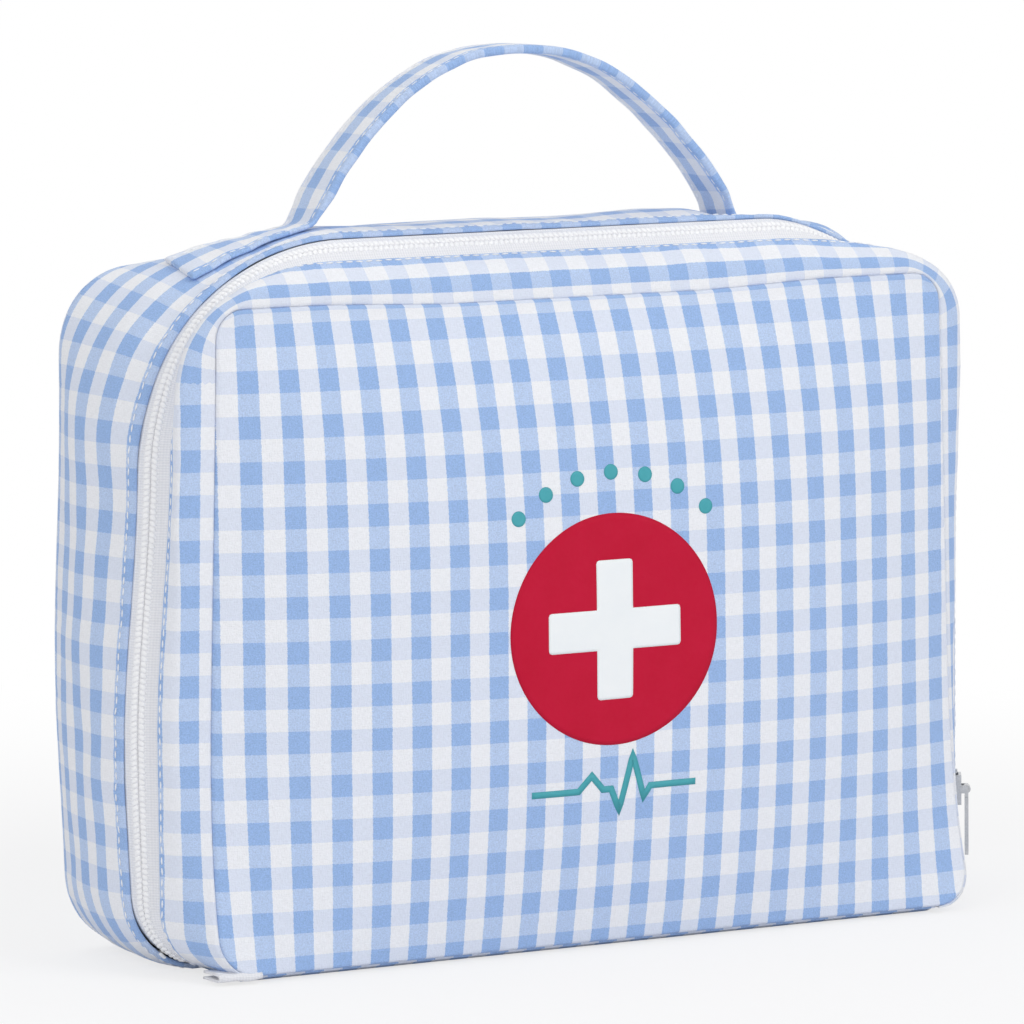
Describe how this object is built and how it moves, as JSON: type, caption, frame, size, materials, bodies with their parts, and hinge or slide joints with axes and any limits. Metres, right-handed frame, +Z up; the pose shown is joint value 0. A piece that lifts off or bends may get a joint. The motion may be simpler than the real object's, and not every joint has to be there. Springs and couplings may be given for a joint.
{
  "type": "toy doctor case",
  "caption": "Soft gingham toy doctor case with a zip round three sides, a fold-down padded lid, a strap handle and a red disc with a white cross.",
  "frame": {"origin": "middle of the flat base, on the surface that the case stands on", "axes": "+X across the case, to the right as seen from the front; +Y from the front panel to the back; +Z up"},
  "size_m": [0.2588, 0.0909, 0.2441],
  "materials": {
    "gingham_cloth": "plain-woven cotton, pale blue and white gingham, with white topstitching",
    "lining": "plain-woven white cotton lining",
    "wadding": "bonded polyester wadding",
    "binding": "white woven bias binding",
    "zip_tape": "ribbed white polyester tape",
    "zip_coil": "white nylon coil",
    "zip_metal": "plated zinc, slightly worn",
    "base_board": "stiff fibre board",
    "red_print": "red ink printed on the cloth",
    "white_print": "white ink printed on the cloth",
    "teal_print": "teal ink printed on the cloth"
  },
  "bodies": {
    "case": {"rear_panel": "gingham_cloth", "rear_wadding": "wadding", "rear_lining": "lining", "rear_gusset": "gingham_cloth", "rear_gusset_wadding": "wadding", "rear_gusset_lining": "lining", "base_panel": "gingham_cloth", "base_board": "base_board", "base_lining": "lining", "zip_tape_rear": "zip_tape", "zip_coil_rear": "zip_coil", "zip_stop_rear": "zip_metal", "zip_end_tack": "zip_tape", "rear_seam_binding": "binding", "corner_binding_left": "binding", "corner_binding_right": "binding", "handle_tab_left": "gingham_cloth", "handle_tab_right": "gingham_cloth"},
    "lid": {"front_panel": "gingham_cloth", "front_wadding": "wadding", "front_lining": "lining", "front_strip": "gingham_cloth", "front_strip_wadding": "wadding", "front_strip_lining": "lining", "zip_tape_front": "zip_tape", "zip_coil_front": "zip_coil", "zip_stop_front": "zip_metal", "front_seam_binding": "binding", "red_disc_print": "red_print", "white_cross_print": "white_print", "dots_print": "teal_print", "pulse_line_print": "teal_print"},
    "handle": {"handle_strap": "gingham_cloth", "handle_core": "wadding"},
    "slider": {"slider_top_plate": "zip_metal", "slider_back_plate": "zip_metal", "slider_bail": "zip_metal"},
    "pull": {"pull_tab": "zip_metal"}
  },
  "joints": [
    {"name": "lid_fold", "type": "hinge", "parent": "case", "child": "lid", "pos_m": [0, -0.0375, 0.002], "axis": [1, 0, 0], "range_deg": [0, 83]},
    {"name": "handle_flop", "type": "hinge", "parent": "case", "child": "handle", "pos_m": [0, 0.008, 0.2069], "axis": [1, 0, 0], "range_deg": [-80, 80]},
    {"name": "slider_run", "type": "slide", "parent": "case", "child": "slider", "axis": [0, 0, 1], "range_m": [0, 0.095]},
    {"name": "pull_flip", "type": "hinge", "parent": "slider", "child": "pull", "pos_m": [0.12798, -0.01599, 0.0305], "axis": [-0.4903, -0.8716, 0], "range_deg": [0, 170]}
  ]
}
